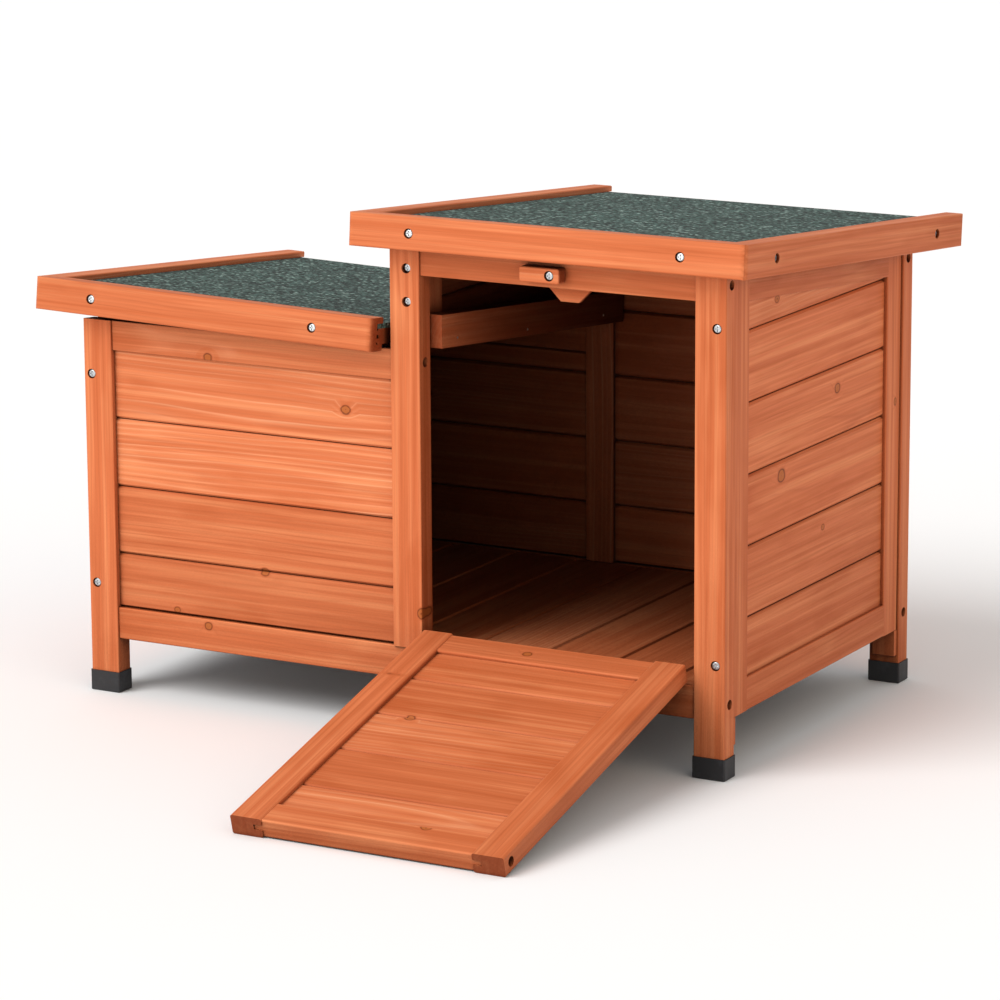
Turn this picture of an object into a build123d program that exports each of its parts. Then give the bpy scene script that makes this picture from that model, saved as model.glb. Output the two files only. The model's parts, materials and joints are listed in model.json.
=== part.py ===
from build123d import *
import math
import os

# A two-room wooden rabbit hutch: a tall room with a drop-down ramp door, and a low room
# beside it under a side-hinged lid. Millimetres, +Z up, the ramp door faces -Y.
# The pieces are laid out from the left front post: X to the right, Y to the back, Z from
# the ground. At the end everything moves together, so that the origin is on the ground
# under the middle of the whole hutch.

# ---- timber stock ----
POST_W = 30.0
POST_T = 20.0
RAIL_H = 30.0
RAIL_T = 16.0
EDGE_R = 1.2
GAP = 0.3
OVERSIZE = 20.0

# ---- tongued and grooved boards ----
BOARD_T = 10.0
BOARD_PITCH = 64.0
BOARD_SEAM = 0.8
BOARD_BEVEL_SHARE = 0.2
TONGUE_T = 3.0
TONGUE_H = 4.6
TONGUE_SLOT_T = 3.4
TONGUE_SLOT_H = 4.2
NARROWEST_BOARD = 8.0

# ---- carcass ----
BODY_W = 660.0
BODY_D = 390.0
MIDDLE_X = 328.0
RAIL_Z = 52.0
FLOOR_Z = 81.5
FIRST_SEAM_Z = 134.0
BACK_SEAM_Z = 139.0
RAIL_RECESS = 2.4
BOARD_RECESS = 5.9
STILE_W = 30.0
GROOVE_W = 5.0
GROOVE_DEPTH = 8.0
GROOVE_SLACK = 0.6
BOARD_TUCK = 3.0
TALL_TOP = 452.0
TALL_SLOPE = 5.0
LOW_TOP = 354.0
LOW_SLOPE = 5.5
LOW_LEFT_TOP = 365.3
FLOOR_BOARD_W = 70.0
FLOOR_FIRST_SEAM_X = 40.0
FLOOR_T = 9.0
BEARER_T = 20.0
BEARER_END_GAP = 1.0
HEAD_RAIL_T = 17.0
REST_BLOCK = (22.0, 6.0, 25.2)
REST_BLOCK_INSET = 2.0

# ---- feet ----
CAP_H = 19.5
CAP_WALL = 1.0
CAP_FLOOR = 2.0
CAP_CORNER_R = 1.6
CAP_EDGE = 0.6

# ---- roofs ----
TRIM_H = 30.0
TRIM_T = 20.0
TRIM_LIP = 6.0
TRIM_GROOVE = 10.0
TRIM_CORNER_R = 5.5
TRIM_EDGE_R = 1.5
DECK_T = 14.0
DECK_BACK_INSET = 10.0
FELT_T = 4.5
FELT_FOLD_T = 3.8
FELT_FOLD_INSET = 12.0
FELT_FOLD_H = 12.0
ROOF_FRONT = -20.3
TALL_ROOF_X = (297.0, 687.0)
TALL_ROOF_L = 466.0
LOW_ROOF_X = (-39.0, 321.5)
LOW_ROOF_L = 444.0
LOW_LID_TILT = 1.43
LOW_HINGE_Z = 379.5
TRIM_SCREW_INSET = 62.0

# ---- ramp door ----
RAMP_W = 262.0
RAMP_L = 338.0
RAMP_T = 18.0
RAMP_EDGE_R = 1.8
RAMP_FRAME_W = 30.0
RAMP_RAIL_RECESS = 1.2
RAMP_BOARD_T = 8.0
RAMP_BOARD_RECESS = 4.5
RAMP_FIRST_SEAM = 77.0
RAMP_BOARD_SLACK = 3.6
RAMP_GAP = 1.0
RAMP_SCREW_INSET = 11.0

# ---- butt hinges ----
KNUCKLE_R = 2.5
PIN_R = 1.1
PIN_CLEARANCE = 0.06
PIN_SHORT = 0.4
KNUCKLE_GAP = 0.3
LEAF_T = 1.2
LEAF_OFFSET = 2.8
LEAF_START = 3.2
LEAF_CORNER_R = 2.0
LEAF_HOLE_R = 1.6
LEAF_HOLE_SHIFT = 1.0
WEB_LIFT = 0.5
RAMP_HINGE_L = 40.0
RAMP_LEAF_W = 18.0
RAMP_HINGE_SHARE = 0.3
ROOF_HINGE_L = 50.0
ROOF_LEAF_W = 20.0
TALL_HINGE_INSET = 50.0
LOW_HINGE_Y = (60.0, 330.0)

# ---- turn button and stop ----
BUTTON_PIVOT_X = 493.5
BUTTON_PIVOT_Z = 434.5
BUTTON_LONG = 29.5
BUTTON_SHORT = 10.0
BUTTON_H = 13.5
BUTTON_T = 12.0
BUTTON_CORNER_R = 2.5
BUTTON_EDGE = 0.8
BUTTON_LIFT = 0.2
BUTTON_SCREW_SINK = 1.2
BUTTON_HEAD_CLEARANCE = 0.6
BUTTON_PIVOT_CLEARANCE = 0.08
STOP_X = 498.7
STOP_Z = 407.5
STOP_W = 44.0
STOP_FOOT_W = 18.0
STOP_H = 30.0
STOP_T = 6.0
STOP_EDGE = 0.8

# ---- screws ----
HEAD_R = 4.0
HEAD_H = 2.4
HEAD_DOME_R = 1.4
CROSS_SLOT = (4.6, 1.1, 2.6)
SHANK_R = 1.9
SHANK_POINT = 1.5
BORE_R = 4.5
SHORT_SCREW = 24.0
TRIM_SCREW = 28.0
RAMP_SCREW = 34.0
POST_SCREW = 34.0
LONG_SCREW = 42.0
FRONT_SCREWS = ((8.0, 302.5), (8.0, 104.0), (651.0, 400.0), (651.0, 103.0))
MIDDLE_SCREWS = ((345.0, 428.0), (345.0, 398.0))
BACK_SCREWS = ((8.0, 265.0), (8.0, 104.0), (651.0, 365.0), (651.0, 103.0), (345.0, 394.0), (345.0, 364.0))
FACE_SCREW_SINK = 0.8
BACK_SCREW_SINK = 3.0
DEEP_SCREW_SINK = 3.0
SIDE_SCREW_SINK = 5.0
RAMP_SCREW_SINK = 4.0
TRIM_FRONT_SINK = 1.0
TRIM_SIDE_SINK = 2.0

# ---- worked out from the sizes above ----
RAIL_TOP = RAIL_Z + RAIL_H
BACK_POST_Y = BODY_D - POST_T
RIGHT_POST_X = BODY_W - POST_W
MIDDLE_RIGHT = MIDDLE_X + POST_W
HEAD_RAIL_Z = TALL_TOP - RAIL_H
LOW_RAIL_Z = LOW_TOP - 28.0
OPENING_MID_X = (MIDDLE_RIGHT + RIGHT_POST_X) / 2
PARTITION_X = 337.0
PARTITION_FACE_X = MIDDLE_X + 1.0
PARTITION_LOW = 250.0
STRIP_FRONT_Z = 386.5
STRIP_FRONT_GAP = 1.0

RAMP_HINGE_Y = RAIL_RECESS - LEAF_OFFSET
RAMP_HINGE_Z = RAIL_TOP + RAMP_GAP / 2
TALL_HINGE_Y = BODY_D - RAIL_RECESS + LEAF_OFFSET
LOW_HINGE_X = PARTITION_FACE_X - LEAF_OFFSET
LOW_PIN_RISE = DECK_T + FELT_T + LEAF_OFFSET

ON_END = (Align.CENTER, Align.CENTER, Align.MIN)
HUGE = 3000.0

nodes = {}


def add(name, *pieces):
    """Store a node as a list of solids."""
    solids = []
    for piece in pieces:
        solids.extend(piece.solids())
    nodes[name] = solids


def block(x, y, z):
    """A plain box between pairs of coordinates."""
    size = (x[1] - x[0], y[1] - y[0], z[1] - z[0])
    return Pos(x[0], y[0], z[0]) * Box(*size, align=Align.MIN)


def stick(x, y, z, radius=EDGE_R):
    """A length of planed timber with its long edges eased."""
    body = block(x, y, z)
    spans = (x[1] - x[0], y[1] - y[0], z[1] - z[0])
    axis = (Axis.X, Axis.Y, Axis.Z)[spans.index(max(spans))]
    return fillet(body.edges().filter_by(axis), radius)


def slope_frame(height, slope, y=0.0):
    """A frame on a roof line: its Y runs down the slope to the back."""
    return Pos(0, y, height) * Rot(-slope, 0, 0)


def half_space(height, slope, side):
    box = Box(HUGE, HUGE, HUGE / 4, align=(Align.CENTER, Align.CENTER, side))
    return slope_frame(height, slope) * box


def above(height, slope):
    """Everything over the roof line that is at this height over the front plane."""
    return half_space(height, slope, Align.MIN)


def below(height, slope):
    """Everything under the same line."""
    return half_space(height, slope, Align.MAX)


def board(length, low, high, thickness=BOARD_T, last=False):
    """One tongued and grooved board: length on X, thickness on Y, width on Z.
    The last board of a wall has no tongue."""
    half = thickness / 2
    bevel = thickness * BOARD_BEVEL_SHARE
    slot = TONGUE_SLOT_T / 2
    slot_top = low + TONGUE_SLOT_H
    top = high - BOARD_SEAM
    outline = [
        (-half, low + bevel),
        (-half + bevel, low),
        (-slot, low),
        (-slot, slot_top),
        (slot, slot_top),
        (slot, low),
        (half - bevel, low),
        (half, low + bevel),
        (half, top - bevel),
        (half - bevel, top),
    ]
    if not last:
        tongue = TONGUE_T / 2
        tongue_top = top + TONGUE_H
        outline += [(tongue, top), (tongue, tongue_top), (-tongue, tongue_top), (-tongue, top)]
    outline += [(-half + bevel, top), (-half, top - bevel)]
    return extrude(make_face(Plane.YZ * Polyline(*outline, close=True)), length)


def board_wall(frame, length, low, high, first_seam, pitch=BOARD_PITCH, thickness=BOARD_T):
    """Boards side by side from low to high, with a seam at first_seam and every pitch from it."""
    seams = [low]
    seam = first_seam
    while seam < high - NARROWEST_BOARD:
        if seam > low + NARROWEST_BOARD:
            seams.append(seam)
        seam += pitch
    seams.append(high)
    return [frame * board(length, a, b, thickness, b == high) for a, b in zip(seams, seams[1:])]


def front_frame(x, y):
    """Boards along X, upright."""
    return Plane(origin=(x, y, 0), x_dir=(1, 0, 0), z_dir=(0, 0, 1)).location


def side_frame(x, y):
    """Boards along Y, upright."""
    return Plane(origin=(x, y, 0), x_dir=(0, 1, 0), z_dir=(0, 0, 1)).location


def cut(pieces, *tools):
    """Cut every tool out of every piece, and keep the largest body of each."""
    result = []
    for piece in pieces:
        for tool in tools:
            piece = piece - tool
        result.append(max(piece.solids(), key=lambda solid: solid.volume))
    return result


# ---- screws ----

def screw(length):
    """A cross-head screw that points along +Z, with the underside of its head at 0."""
    head = Pos(0, 0, -HEAD_H / 2) * Cylinder(HEAD_R, HEAD_H)
    head = fillet(head.edges().sort_by(Axis.Z)[0], HEAD_DOME_R)
    for turn in (0, 90):
        head -= Pos(0, 0, -HEAD_H) * Rot(0, 0, turn) * Box(*CROSS_SLOT)
    shank = Cylinder(SHANK_R, length, align=ON_END)
    return head + chamfer(shank.edges().sort_by(Axis.Z)[-1], SHANK_POINT)


def drive_screws(points, direction, depth, length, targets):
    """Set screws into the wood, heads this deep under the surface, and bore their holes."""
    placed = []
    seat = depth + HEAD_H
    for point in points:
        frame = Plane(origin=point, z_dir=direction).location
        bore = frame * Pos(0, 0, -1) * Cylinder(BORE_R, seat + 1, align=ON_END)
        shank = frame * Pos(0, 0, seat) * Cylinder(SHANK_R, length, align=ON_END)
        tool = bore + shank
        box = tool.bounding_box()
        for name in targets:
            nodes[name] = [drill(solid, tool, box) for solid in nodes[name]]
        placed.append(frame * Pos(0, 0, seat) * screw(length))
    return placed


def drill(solid, tool, box):
    """Cut a screw's hole, if the solid is near it."""
    own = solid.bounding_box()
    apart = (
        own.min.X > box.max.X or own.max.X < box.min.X
        or own.min.Y > box.max.Y or own.max.Y < box.min.Y
        or own.min.Z > box.max.Z or own.max.Z < box.min.Z
    )
    if apart:
        return solid
    return (solid - tool).solids()[0]


# ---- hinges ----

def leaf(length, width, moving):
    """One leaf of a butt hinge: pin on X, wood face at Z = -LEAF_OFFSET, leaf towards +Y.
    The moving leaf has the middle knuckle, and the fixed one has the outer two."""
    thick = (-LEAF_OFFSET, LEAF_T - LEAF_OFFSET)
    plate = block((-length / 2, length / 2), (LEAF_START, width), thick)
    plate = fillet(plate.edges().filter_by(Axis.Z).group_by(Axis.Y)[-1], LEAF_CORNER_R)
    third = length / 3
    hole_y = (LEAF_START + width) / 2 + LEAF_HOLE_SHIFT
    for x in (-third, 0, third):
        plate -= Pos(x, hole_y, LEAF_T / 2 - LEAF_OFFSET) * Cylinder(LEAF_HOLE_R, 2 * LEAF_T)
    if moving:
        spans = [(-third / 2 + KNUCKLE_GAP, third / 2 - KNUCKLE_GAP)]
        bore_r = PIN_R + PIN_CLEARANCE
    else:
        outer = third / 2 + KNUCKLE_GAP
        spans = [(-length / 2, -outer), (outer, length / 2)]
        bore_r = PIN_R
    for low, high in spans:
        web = block((low, high), (0, LEAF_START), (WEB_LIFT - LEAF_OFFSET, LEAF_T - LEAF_OFFSET))
        barrel = Pos((low + high) / 2, 0, 0) * Rot(0, 90, 0) * Cylinder(KNUCKLE_R, high - low)
        plate += web + barrel
    return plate - Rot(0, 90, 0) * Cylinder(bore_r, length + 2)


def leaf_frame(point, outward, away):
    """A leaf's place: the pin's middle, the wood's outward normal, and the way from the pin."""
    normal = Vector(*outward)
    along = Vector(*away).cross(normal)
    return Plane(origin=point, x_dir=along, z_dir=normal).location


def pin(point, along, length):
    return Plane(origin=point, z_dir=along).location * Cylinder(PIN_R, length - PIN_SHORT)


pins = []


# ---- posts and feet ----

def post(x, y, bottom, height, slope):
    upright = stick((x, x + POST_W), (y, y + POST_T), (bottom, height + OVERSIZE))
    return upright - above(height, slope)


def make_posts():
    """The low roof's posts stop lower, and the middle ones stand on the bottom rails."""
    for side, y in (("front", 0.0), ("back", BACK_POST_Y)):
        add(f"post_{side}_left", post(0.0, y, CAP_FLOOR, LOW_TOP, LOW_SLOPE))
        add(f"post_{side}_middle", post(MIDDLE_X, y, RAIL_TOP, TALL_TOP, TALL_SLOPE))
        add(f"post_{side}_right", post(RIGHT_POST_X, y, CAP_FLOOR, TALL_TOP, TALL_SLOPE))


def foot_cap(x, y):
    outer_x = (x - CAP_WALL, x + POST_W + CAP_WALL)
    outer_y = (y - CAP_WALL, y + POST_T + CAP_WALL)
    outer = fillet(block(outer_x, outer_y, (0, CAP_H)).edges().filter_by(Axis.Z), CAP_CORNER_R)
    outer = chamfer(outer.faces().sort_by(Axis.Z)[0].edges(), CAP_EDGE)
    pocket = block((x, x + POST_W), (y, y + POST_T), (CAP_FLOOR, CAP_H + 1))
    return outer - pocket


def make_feet():
    corners = [(x, y) for x in (0.0, RIGHT_POST_X) for y in (0.0, BACK_POST_Y)]
    add("foot_caps", *[foot_cap(x, y) for x, y in corners])


# ---- front, back and floor ----

def rail(x, y, z, thickness=RAIL_T):
    return stick(x, (y, y + thickness), z)


def make_front():
    y = RAIL_RECESS
    add("front_bottom_rail", rail((POST_W + GAP, RIGHT_POST_X - GAP), y, (RAIL_Z, RAIL_TOP)))
    low_span = (POST_W + GAP, MIDDLE_X - GAP)
    add("low_front_top_rail", rail(low_span, y, (LOW_RAIL_Z, LOW_TOP)) - above(LOW_TOP, LOW_SLOPE))
    tall_span = (MIDDLE_RIGHT + GAP, RIGHT_POST_X - GAP)
    head = rail(tall_span, y, (HEAD_RAIL_Z, TALL_TOP), HEAD_RAIL_T)
    add("head_rail", head - above(TALL_TOP, TALL_SLOPE))
    frame = front_frame(low_span[0], BOARD_RECESS + BOARD_T / 2)
    length = low_span[1] - low_span[0]
    boards = board_wall(frame, length, RAIL_TOP + GAP, LOW_RAIL_Z + BOARD_TUCK, FIRST_SEAM_Z)
    add("low_front_boards", *cut(boards, nodes["low_front_top_rail"][0]))


def make_back():
    y = BODY_D - RAIL_RECESS - RAIL_T
    rail_mid = y + RAIL_T / 2
    add("back_bottom_rail", rail((POST_W + GAP, RIGHT_POST_X - GAP), y, (RAIL_Z, RAIL_TOP)))
    walls = (
        ("low", POST_W, MIDDLE_X, LOW_TOP, LOW_SLOPE),
        ("tall", MIDDLE_RIGHT, RIGHT_POST_X, TALL_TOP, TALL_SLOPE),
    )
    for name, left, right, height, slope in walls:
        span = (left + GAP, right - GAP)
        top = height - rail_mid * math.tan(math.radians(slope))
        top_rail = rail(span, y, (top - RAIL_H, top + OVERSIZE)) - above(height, slope)
        add(f"{name}_back_top_rail", top_rail)
        frame = front_frame(span[0], BODY_D - BOARD_RECESS - BOARD_T / 2)
        boards = board_wall(frame, span[1] - span[0], RAIL_TOP + GAP, top - RAIL_H, BACK_SEAM_Z)
        add(f"{name}_back_boards", *cut(boards, top_rail))


def make_floor():
    """The floor boards run front to back on bearers that are fixed to the bottom rails."""
    front = RAIL_RECESS + RAIL_T
    back = BODY_D - front
    under = FLOOR_Z - FLOOR_T
    span = (POST_W + BEARER_END_GAP, RIGHT_POST_X - BEARER_END_GAP)
    z = (under - BEARER_T, under)
    add(
        "floor_bearers",
        stick(span, (front, front + BEARER_T), z),
        stick(span, (back - BEARER_T, back), z),
    )
    side = front + GAP
    frame = Plane(origin=(0, side, FLOOR_Z - FLOOR_T / 2), x_dir=(0, 1, 0), z_dir=(1, 0, 0))
    length = back - front - 2 * GAP
    across = (side, BODY_W - side)
    boards = board_wall(frame.location, length, *across, FLOOR_FIRST_SEAM_X, FLOOR_BOARD_W, FLOOR_T)
    posts = [solid for name in nodes if name.startswith("post_") for solid in nodes[name]]
    clearances = [offset_box(solid, GAP) for solid in posts]
    add("floor_boards", *cut(boards, *clearances))


def offset_box(solid, margin):
    """A solid's own box, a little larger."""
    box = solid.bounding_box()
    return block(
        (box.min.X - margin, box.max.X + margin),
        (box.min.Y - margin, box.max.Y + margin),
        (box.min.Z - margin, box.max.Z + margin),
    )


# ---- side panels ----

def framed_panel(name, outer_x, inward, height, slope):
    """A framed side: two stiles, a sloping top rail, a bottom rail and boards in their grooves."""
    face = outer_x + inward * RAIL_RECESS
    back_face = face + inward * RAIL_T
    x = (min(face, back_face), max(face, back_face))
    board_x = outer_x + inward * (BOARD_RECESS + BOARD_T / 2)
    front = (POST_T + GAP, POST_T + GAP + STILE_W)
    back = (BACK_POST_Y - GAP - STILE_W, BACK_POST_Y - GAP)
    inner = (front[1], back[0])
    groove_x = (board_x - GROOVE_W / 2, board_x + GROOVE_W / 2)
    groove_y = (inner[0] - GROOVE_DEPTH, inner[1] + GROOVE_DEPTH)
    groove = block(groove_x, groove_y, (0, 2 * height))
    lid = above(height, slope)
    for side, y in (("front", front), ("back", back)):
        stile = stick(x, y, (RAIL_Z, height + OVERSIZE)) - lid - groove
        add(f"{name}_{side}_stile", stile)
    stiles = nodes[f"{name}_front_stile"] + nodes[f"{name}_back_stile"]
    rail_groove = block(groove_x, (0, BODY_D), (RAIL_TOP - GROOVE_DEPTH, RAIL_TOP + 1.0))
    bottom = stick(x, groove_y, (RAIL_Z, RAIL_TOP)) - rail_groove
    add(f"{name}_bottom_rail", *cut([bottom], *stiles))
    under = height - RAIL_H / math.cos(math.radians(slope))
    top = block(x, groove_y, (0.0, height + OVERSIZE)) - lid - below(under, slope)
    top -= slope_frame(under, slope) * block(groove_x, (0, HUGE), (-1.0, GROOVE_DEPTH))
    add(f"{name}_top_rail", *cut([top], *stiles))
    reach = GROOVE_DEPTH - GROOVE_SLACK
    frame = side_frame(board_x, inner[0] - reach)
    length = inner[1] - inner[0] + 2 * reach
    boards = board_wall(frame, length, RAIL_TOP - reach, height - GROOVE_DEPTH, FIRST_SEAM_Z)
    rails = nodes[f"{name}_bottom_rail"] + nodes[f"{name}_top_rail"]
    trimmed = cut(boards, above(under + reach, slope))
    add(f"{name}_boards", *cut(trimmed, *stiles, *rails))


def make_sides():
    framed_panel("right_side", BODY_W, -1, TALL_TOP, TALL_SLOPE)
    framed_panel("left_side", 0.0, 1, LOW_LEFT_TOP, LOW_SLOPE)


def make_partition():
    """The tall room's wall above the low roof, open below, with a strip along its foot."""
    x = (PARTITION_X, PARTITION_X + RAIL_T)
    roof = above(TALL_TOP, TALL_SLOPE)
    foot = STRIP_FRONT_Z - RAIL_H
    floor = below(foot, LOW_SLOPE)
    spans = (
        ("front", (POST_T + GAP, POST_T + GAP + STILE_W)),
        ("back", (BACK_POST_Y - GAP - STILE_W, BACK_POST_Y - GAP)),
    )
    for side, y in spans:
        upright = stick(x, y, (PARTITION_LOW, TALL_TOP + OVERSIZE)) - roof - floor
        add(f"partition_{side}_stile", upright)
    y = (POST_T + GAP, BACK_POST_Y - GAP)
    strip_x = (x[1], x[1] + RAIL_T)
    strip_y = (POST_T + STRIP_FRONT_GAP, y[1])
    strip = block(strip_x, strip_y, (PARTITION_LOW, TALL_TOP))
    add("partition_strip", strip - floor - above(STRIP_FRONT_Z, LOW_SLOPE))
    thickness = PARTITION_X - PARTITION_FACE_X
    frame = side_frame(PARTITION_FACE_X + thickness / 2, y[0])
    seam = FIRST_SEAM_Z + 4 * BOARD_PITCH
    top = TALL_TOP + NARROWEST_BOARD
    boards = board_wall(frame, y[1] - y[0], PARTITION_LOW, top, seam, thickness=thickness)
    add("partition_boards", *cut(boards, roof, floor))


def make_rest_blocks():
    """Small blocks on the legs carry the side panels."""
    width, depth, height = REST_BLOCK
    top = RAIL_Z - GAP
    blocks = []
    for x in (REST_BLOCK_INSET, BODY_W - REST_BLOCK_INSET - width):
        for y in (POST_T, BACK_POST_Y - depth):
            piece = block((x, x + width), (y, y + depth), (top - height, top))
            blocks.append(chamfer(piece.faces().sort_by(Axis.Z)[0].edges(), 1.0))
    add("rest_blocks", *blocks)


# ---- ramp door, drawn shut and then let down ----

def make_ramp():
    x0 = OPENING_MID_X - RAMP_W / 2
    x1 = x0 + RAMP_W
    y = (RAIL_RECESS, RAIL_RECESS + RAMP_T)
    z = (RAIL_TOP + RAMP_GAP, RAIL_TOP + RAMP_GAP + RAMP_L)
    board_y = y[1] - RAMP_BOARD_RECESS - RAMP_BOARD_T / 2
    groove_y = (board_y - GROOVE_W / 2, board_y + GROOVE_W / 2)
    inner_x = (x0 + RAMP_FRAME_W, x1 - RAMP_FRAME_W)
    inner_z = (z[0] + RAMP_FRAME_W, z[1] - RAMP_FRAME_W)
    groove_x = (inner_x[0] - GROOVE_DEPTH, inner_x[1] + GROOVE_DEPTH)
    groove = block(groove_x, groove_y, (z[0] - 1, z[1] + 1))
    left = stick((x0, inner_x[0]), y, z, RAMP_EDGE_R) - groove
    right = stick((inner_x[1], x1), y, z, RAMP_EDGE_R) - groove
    rails = []
    rail_groove = block(groove_x, groove_y, (inner_z[0] - GROOVE_DEPTH, inner_z[1] + GROOVE_DEPTH))
    rail_y = (y[0], y[1] - RAMP_RAIL_RECESS)
    for span in ((z[0], inner_z[0]), (inner_z[1], z[1] - RAMP_RAIL_RECESS)):
        piece = stick(groove_x, rail_y, span, RAMP_EDGE_R) - rail_groove
        rails.extend(cut([piece], left, right))
    reach = GROOVE_DEPTH - GROOVE_SLACK
    frame = front_frame(inner_x[0] - reach, board_y)
    length = inner_x[1] - inner_x[0] + 2 * reach
    low = inner_z[0] - reach
    high = inner_z[1] + reach - RAMP_BOARD_SLACK
    seam = z[0] + RAMP_FIRST_SEAM
    boards = board_wall(frame, length, low, high, seam, thickness=RAMP_BOARD_T)
    add("ramp_left_stile", left)
    add("ramp_right_stile", right)
    add("ramp_hinge_rail", rails[0])
    add("ramp_free_rail", rails[1])
    add("ramp_boards", *cut(boards, left, right, *rails))
    joined = ["ramp_left_stile", "ramp_right_stile", "ramp_free_rail"]
    place = ((y[0] + y[1]) / 2, z[1] - RAMP_SCREW_INSET)
    screws = drive_screws([(x0, *place)], (1, 0, 0), RAMP_SCREW_SINK, RAMP_SCREW, joined)
    screws += drive_screws([(x1, *place)], (-1, 0, 0), RAMP_SCREW_SINK, RAMP_SCREW, joined)
    add("ramp_screws", *screws)


def make_ramp_hinges():
    fixed = []
    moving = []
    for side in (-1, 1):
        x = OPENING_MID_X + side * RAMP_W * RAMP_HINGE_SHARE
        point = (x, RAMP_HINGE_Y, RAMP_HINGE_Z)
        lower = leaf_frame(point, (0, -1, 0), (0, 0, -1))
        upper = leaf_frame(point, (0, -1, 0), (0, 0, 1))
        fixed.append(lower * leaf(RAMP_HINGE_L, RAMP_LEAF_W, False))
        moving.append(upper * leaf(RAMP_HINGE_L, RAMP_LEAF_W, True))
        pins.append(pin(point, (1, 0, 0), RAMP_HINGE_L))
    add("ramp_hinge_fixed_leaves", *fixed)
    add("ramp_hinge_moving_leaves", *moving)


def ramp_open_angle():
    """How far the ramp turns from shut until its free end meets the ground."""
    reach = RAIL_TOP + RAMP_GAP + RAMP_L - RAMP_HINGE_Z
    proud = RAIL_RECESS - RAMP_HINGE_Y
    distance = math.hypot(reach, proud)
    from_upright = math.pi - math.acos(RAMP_HINGE_Z / distance)
    return math.degrees(from_upright + math.atan2(proud, reach))


def let_down_ramp():
    pivot = Pos(0, RAMP_HINGE_Y, RAMP_HINGE_Z)
    turn = pivot * Rot(RAMP_OPEN, 0, 0) * Pos(0, -RAMP_HINGE_Y, -RAMP_HINGE_Z)
    for name in RAMP_NODES:
        nodes[name] = [turn * solid for solid in nodes[name]]


# ---- turn button and stop ----

def make_button():
    back = RAIL_RECESS - GAP
    x = (BUTTON_PIVOT_X - BUTTON_LONG, BUTTON_PIVOT_X + BUTTON_SHORT)
    z = (BUTTON_PIVOT_Z - BUTTON_H / 2, BUTTON_PIVOT_Z + BUTTON_H / 2)
    body = block(x, (back - BUTTON_T, back), z)
    body = fillet(body.edges().filter_by(Axis.Y), BUTTON_CORNER_R)
    body = chamfer(body.faces().sort_by(Axis.Y)[0].edges(), BUTTON_EDGE)
    front = (BUTTON_PIVOT_X, back - BUTTON_T, BUTTON_PIVOT_Z)
    frame = Plane(origin=front, z_dir=(0, 1, 0)).location
    sink = BUTTON_SCREW_SINK
    body -= frame * Cylinder(HEAD_R + BUTTON_HEAD_CLEARANCE, 2 * (sink + HEAD_H))
    body -= frame * Cylinder(SHANK_R + BUTTON_PIVOT_CLEARANCE, 4 * BUTTON_T)
    add("turn_button", body)
    start = (front[0], front[1] - BUTTON_LIFT, front[2])
    return drive_screws([start], (0, 1, 0), sink, SHORT_SCREW, ["head_rail"])


def make_stop():
    """A tab behind the head rail that the shut ramp rests against."""
    half = STOP_W / 2
    foot = STOP_FOOT_W / 2
    rise = half - foot
    top = STOP_Z + STOP_H
    outline = [
        (STOP_X - foot, STOP_Z),
        (STOP_X + foot, STOP_Z),
        (STOP_X + half, STOP_Z + rise),
        (STOP_X + half, top),
        (STOP_X - half, top),
        (STOP_X - half, STOP_Z + rise),
    ]
    plate = extrude(make_face(Plane.XZ * Polyline(*outline, close=True)), -STOP_T)
    plate = Pos(0, RAIL_RECESS + HEAD_RAIL_T, 0) * plate
    add("stop_tab", chamfer(plate.faces().sort_by(Axis.Y)[-1].edges(), STOP_EDGE))


# ---- roofs, drawn flat: X across, Y down the slope, 0 at the underside of the deck ----

def trim_set(name, x, length, sides):
    """Grooved trims round a roof, mitred where two of them meet."""
    z = (-TRIM_LIP, TRIM_H - TRIM_LIP)
    y = (ROOF_FRONT, ROOF_FRONT + length)
    plan = block(x, y, z)
    rounded = fillet(plan.edges().filter_by(Axis.Z), TRIM_CORNER_R)
    groove_right = x[1] - TRIM_GROOVE if "right" in sides else x[1] + OVERSIZE
    groove_x = (x[0] + TRIM_GROOVE, groove_right)
    groove = block(groove_x, (y[0] + TRIM_GROOVE, y[1] + OVERSIZE), (0.0, DECK_T + FELT_T))
    bars = {
        "left": stick((x[0], x[0] + TRIM_T), y, z, TRIM_EDGE_R),
        "right": stick((x[1] - TRIM_T, x[1]), y, z, TRIM_EDGE_R),
    }
    front_bar = stick(x, (y[0], y[0] + TRIM_T), z, TRIM_EDGE_R) & rounded
    for side in sides:
        area = mitred_area(x[0], 1, y, z) if side == "left" else mitred_area(x[1], -1, y, z)
        front_bar -= area
        add(f"{name}_{side}_trim", (bars[side] & rounded & area) - groove)
    add(f"{name}_front_trim", front_bar - groove)


def mitred_area(x, inward, y, z):
    """The upright space of a side trim, with its front end mitred."""
    inner = x + inward * TRIM_T
    outer = x - inward * TRIM_T
    back = y[1] + TRIM_T
    points = [(outer, y[0] - TRIM_T), (inner, y[0] + TRIM_T), (inner, back), (outer, back)]
    face = make_face(Plane.XY.offset(z[0] - 1) * Polyline(*points, close=True))
    return extrude(face, z[1] - z[0] + 2)


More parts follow.
